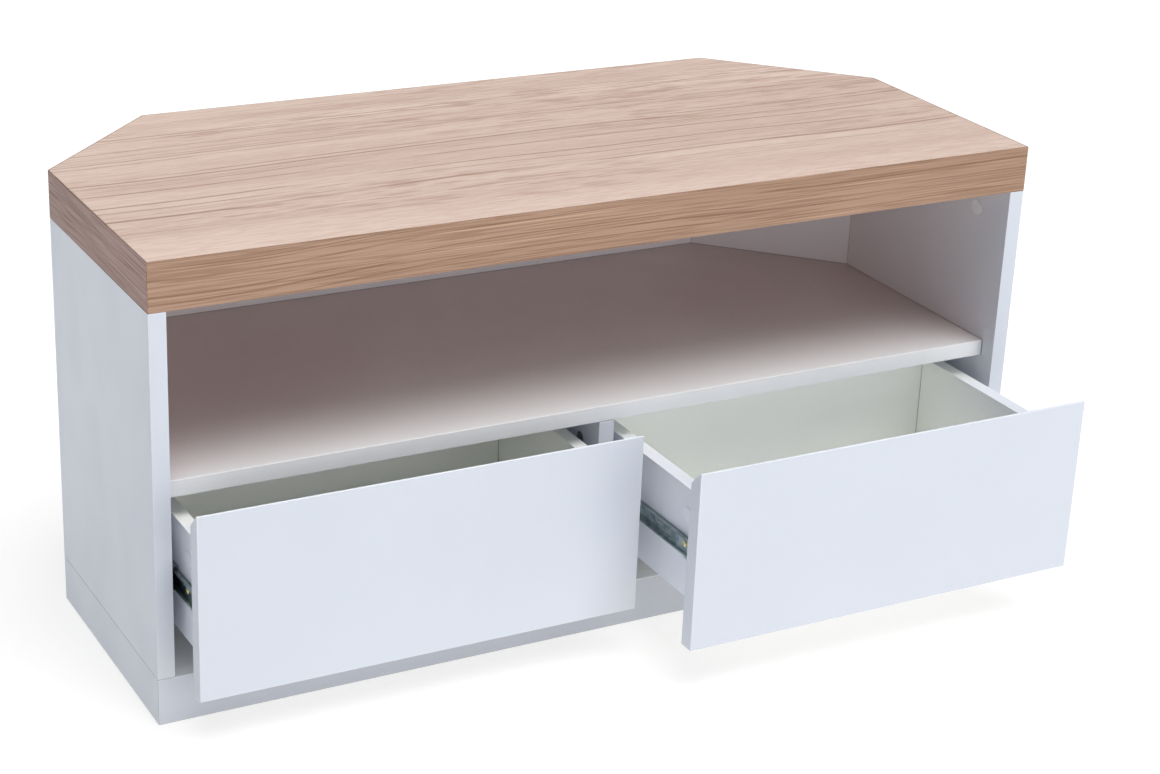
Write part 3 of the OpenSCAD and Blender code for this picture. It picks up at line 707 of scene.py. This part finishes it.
def start_strip(name, x, half_height):
    bpy.ops.object.select_all(action="DESELECT")
    middle = (x, RAIL_LENGTH / 2, half_height / 2)
    bpy.ops.mesh.primitive_plane_add(size=1, location=middle, rotation=(0, pi / 2, 0))
    strip = bpy.context.object
    strip.name = name
    strip.scale = (half_height, RAIL_LENGTH, 1)
    bpy.ops.object.transform_apply(location=True, rotation=True, scale=True)
    bpy.ops.object.mode_set(mode="EDIT")
    bpy.ops.mesh.select_mode(type="EDGE")
    pick(strip, lambda edge: all(v.co.z > half_height - 1e-6 for v in edge.verts))
    return strip


def curl(x, z, angle, steps):
    bpy.ops.mesh.spin(steps=steps, angle=-angle, center=(x, 0, z), axis=(0, 1, 0))


def draw_out(dx, dz):
    bpy.ops.mesh.extrude_region_move(TRANSFORM_OT_translate={"value": (dx, 0, dz)})


def punch(piece, places, radius):
    for y in places:
        bpy.ops.object.select_all(action="DESELECT")
        bpy.ops.mesh.primitive_cylinder_add(
            vertices=24, radius=radius, depth=0.03, location=(0.006, y, 0), rotation=(0, pi / 2, 0))
        tool = bpy.context.object
        work_on(piece)
        apply(piece, "BOOLEAN", object=tool, operation="DIFFERENCE", solver="EXACT")
        bpy.data.objects.remove(tool)


def finish_strip(strip):
    bpy.ops.mesh.select_all(action="SELECT")
    bpy.ops.mesh.remove_doubles(threshold=1e-6)
    bpy.ops.object.mode_set(mode="OBJECT")
    apply(strip, "MIRROR", use_axis=(False, False, True), merge_threshold=1e-5)
    apply(strip, "SOLIDIFY", thickness=SHEET, offset=0, use_even_offset=True)
    punch(strip, SCREW_PLACES + SPARE_HOLES, HOLE_RADIUS)
    bpy.ops.object.shade_smooth_by_angle(angle=radians(40))
    strip.data.materials.append(zinc)
    print(strip.name, len(strip.data.polygons), "faces", [round(v * 1000, 2) for v in strip.dimensions])


print("each strip is", round(RAIL_LENGTH * 1000), "mm long and", SHEET * 1000, "mm thick")

# %% [markdown]
# ## The cabinet member
# Seen from its end, half of this strip goes up its flat back, round a bend, out along the web, and
# round the ball in a lip. The bend and the lip are spun round an axis along the strip, which keeps
# the steel's thickness the same all the way round. The measures are those of the steel's middle line.

# %% Roll the cabinet member
CABINET_BACK = SHEET / 2
CABINET_FLAT = 0.0114
CABINET_LIP = radians(98)
cabinet_strip = start_strip("cabinet_strip", CABINET_BACK, CABINET_FLAT)
curl(CABINET_BACK + BEND, CABINET_FLAT, radians(90), 5)
draw_out(BALL_X - CABINET_BACK - BEND, 0)
curl(BALL_X, BALL_Z, CABINET_LIP, 8)
finish_strip(cabinet_strip)

# %% [markdown]
# ## The drawer member
# This strip is narrower, and faces the other way: its back lies against the drawer's side, and its
# edges turn in and follow the ball from the inside. It is rolled with the same three moves.

# %% Roll the drawer member
DRAWER_BACK = 0.0124
DRAWER_FLAT = 0.0069
DRAWER_GROOVE = radians(60)
drawer_strip = start_strip("drawer_strip", DRAWER_BACK, DRAWER_FLAT)
curl(DRAWER_BACK - BEND, DRAWER_FLAT, radians(-90), 5)
draw_out(BALL_X - DRAWER_BACK + BEND, 0)
curl(BALL_X, BALL_Z, DRAWER_GROOVE, 6)
finish_strip(drawer_strip)

# %% [markdown]
# ## Four runners from two strips
# Each bay has a runner on its divider face and one on its side face, which point at each other. The
# strips are copied, each with its own mesh. A mirrored copy would be inside out, so the normals of
# every copy are recalculated. The two strips that were copied are then taken away.

# %% Fit the strips to the boards
DIVIDER_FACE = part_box("divider")[1].x
SIDE_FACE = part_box("side_right")[0].x


def place_copy(template, name, x, y, facing):
    piece = template.copy()
    piece.data = template.data.copy()
    piece.name = name
    bpy.context.scene.collection.objects.link(piece)
    piece.location = (x, y, RAIL_Z)
    piece.scale = (facing, 1, 1)
    work_on(piece)
    bpy.ops.object.transform_apply(location=True, rotation=True, scale=True)
    bpy.ops.object.mode_set(mode="EDIT")
    bpy.ops.mesh.select_all(action="SELECT")
    bpy.ops.mesh.normals_make_consistent(inside=False)
    bpy.ops.object.mode_set(mode="OBJECT")
    return piece


BAYS = []
for hand, sign in (("left", -1), ("right", 1)):
    BAYS.append((hand, "inner", sign * DIVIDER_FACE, sign))
    BAYS.append((hand, "outer", sign * SIDE_FACE, -sign))
for hand, board, x, facing in BAYS:
    fixed_y, moving_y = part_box("cabinet_rails")[0].y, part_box(hand + "_rails")[0].y
    fixed = place_copy(cabinet_strip, f"{hand}_{board}_cabinet_member", x, fixed_y, facing)
    register(fixed, "carcass", "zinc_steel", "cabinet_rails")
    moving = place_copy(drawer_strip, f"{hand}_{board}_drawer_member", x, moving_y, facing)
    register(moving, "drawer_" + hand, "zinc_steel", hand + "_rails")
bpy.data.objects.remove(cabinet_strip)
bpy.data.objects.remove(drawer_strip)
print("runner members:", 2 * len(BAYS))

# %% [markdown]
# ## Runner screws
# These are pan-head screws with a cross recess, in yellow zinc. The head is a disc whose top is inset
# and raised three times into a low dome. The shank is drawn out of its underside and narrowed to a
# point. The thread would be hidden in the board, so it is left out.

# %% Turn one screw
HEAD_RADIUS = 0.0033
RIM_HEIGHT = 0.0009
DOME_STEPS = ((0.0004, 0.0004), (0.0006, 0.00025), (0.0008, 0.0001))
SHOULDER = 0.0018
SHANK_LENGTH = 0.0066
POINT_LENGTH = 0.0014
POINT_TAPER = 0.15
bpy.ops.object.select_all(action="DESELECT")
bpy.ops.mesh.primitive_cylinder_add(
    vertices=32, radius=HEAD_RADIUS, depth=RIM_HEIGHT, location=(0, 0, RIM_HEIGHT / 2))
screw = bpy.context.object
screw.name = "one_screw"
bpy.ops.object.transform_apply(location=True)
bpy.ops.object.mode_set(mode="EDIT")
bpy.ops.mesh.select_mode(type="FACE")
pick(screw, lambda face: face.normal.z > 0.9)
for width, rise in DOME_STEPS:
    bpy.ops.mesh.inset(thickness=width, depth=rise)
pick(screw, lambda face: face.normal.z < -0.9)
bpy.ops.mesh.inset(thickness=SHOULDER, depth=0)
bpy.ops.mesh.extrude_region_move(TRANSFORM_OT_translate={"value": (0, 0, -SHANK_LENGTH)})
bpy.ops.mesh.extrude_region_move(TRANSFORM_OT_translate={"value": (0, 0, -POINT_LENGTH)})
bpy.ops.transform.resize(value=(POINT_TAPER, POINT_TAPER, 1))
bpy.ops.object.mode_set(mode="OBJECT")
print("blank screw:", len(screw.data.polygons), "faces")

# %% [markdown]
# ## The cross recess
# A screwdriver's tip is a cross whose wings taper. Two crossed wedges are cut out of the head with a
# Boolean modifier, one after the other, so that each cut starts from a clean solid.

# %% Cut the recess
RECESS = (0.0036, 0.0009, 0.0015)
RECESS_MIDDLE = 0.0014
RECESS_TAPER = 0.45
for turned in (0, pi / 2):
    bpy.ops.object.select_all(action="DESELECT")
    bpy.ops.mesh.primitive_cube_add(size=1, location=(0, 0, RECESS_MIDDLE), rotation=(0, 0, turned))
    wedge = bpy.context.object
    wedge.scale = RECESS
    bpy.ops.object.transform_apply(location=True, rotation=True, scale=True)
    bpy.ops.object.mode_set(mode="EDIT")
    pick(wedge, lambda face: face.normal.z < -0.9)
    bpy.ops.transform.resize(value=(RECESS_TAPER, RECESS_TAPER, 1))
    bpy.ops.object.mode_set(mode="OBJECT")
    work_on(screw)
    apply(screw, "BOOLEAN", object=wedge, operation="DIFFERENCE", solver="EXACT")
    bpy.data.objects.remove(wedge)
bpy.ops.object.shade_smooth_by_angle(angle=radians(35))
screw.data.materials.append(gold_zinc)
screw.rotation_euler = (0, pi / 2, 0)
bpy.ops.object.transform_apply(rotation=True)
print("one screw:", len(screw.data.polygons), "faces", [round(v * 1000, 2) for v in screw.dimensions])

# %% [markdown]
# ## Driving the screws
# Each member is held by three screws through its back. They are copied to their holes and joined into
# one piece for each body, because nothing ever moves one screw on its own.

# %% Drive the screws
MEMBER_GAP = 0.013


def drive(name, body, node, rails, runners, from_board, heading):
    copies = []
    for _, _, x, facing in runners:
        for y in SCREW_PLACES:
            at = x + facing * from_board
            copies.append(place_copy(screw, name, at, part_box(rails)[0].y + y, facing * heading))
    bpy.ops.object.select_all(action="DESELECT")
    for piece in copies:
        piece.select_set(True)
    bpy.context.view_layer.objects.active = copies[0]
    bpy.ops.object.join()
    copies[0].name = name
    register(copies[0], body, "yellow_zinc", node)
    print(name, len(copies), "screws")


drive("cabinet_member_screws", "carcass", "cabinet_rail_screws", "cabinet_rails", BAYS, SHEET, 1)
for hand in ("left", "right"):
    own = [bay for bay in BAYS if bay[0] == hand]
    drive(
        f"{hand}_member_screws", "drawer_" + hand, hand + "_rail_screws", hand + "_rails", own,
        MEMBER_GAP - SHEET, -1)
bpy.data.objects.remove(screw)

# %% [markdown]
# ## Small fittings
# Cam locks, cover caps, ball cages and stops are small but close to the eye when a drawer is open.
# Their shapes in the CAD model are right, so they are eased like the boards, only finer, and on every
# edge.

# %% Ease the small fittings
CAM_EASE = 0.0002
CAP_EASE = 0.00035
STOP_EASE = 0.0003
CAGE_EASE = 0.0001
eased("cam_locks", "cam_locks_eased", die_cast, CAM_EASE, shortest=EVERY_EDGE)
eased("cover_caps", "cover_caps_eased", white_plastic, CAP_EASE, shortest=EVERY_EDGE)
eased("rail_bumpers", "rail_bumpers_eased", black_plastic, STOP_EASE, shortest=EVERY_EDGE)
for hand in ("left", "right"):
    eased(hand + "_cam_locks", hand + "_drawer_cams", die_cast, CAM_EASE, shortest=EVERY_EDGE)
    eased(hand + "_cover_caps", hand + "_drawer_caps", grey_plastic, CAP_EASE, shortest=EVERY_EDGE)
    eased(hand + "_ball_cages", hand + "_cages", zinc, CAGE_EASE, segments=1, shortest=EVERY_EDGE)

# %% [markdown]
# ## Finishes for the parts that keep their CAD shape
# Dowels, cam bolts and the inside of the top are shut in the boards, and the bearing balls are round
# already. They stay as drawn and only get their finish, by the material slot that each one names.

# %% Finish the remaining CAD nodes
FINISH_OF_SLOT = {
    "oak_laminate": oak_top, "white_board": white_board, "drawer_board": drawer_board,
    "chipboard": bare_chipboard, "core_card": core_card, "beech": beech, "zinc_steel": zinc,
    "yellow_zinc": gold_zinc, "die_cast_zinc": die_cast, "bearing_steel": ball_steel,
    "white_plastic": white_plastic, "black_plastic": black_plastic}
for node, thing in NODES.items():
    thing.data.materials[0] = FINISH_OF_SLOT[SLOT_OF[node]]
print("kept as drawn:", [n for n, o in NODES.items() if not o.hide_render])
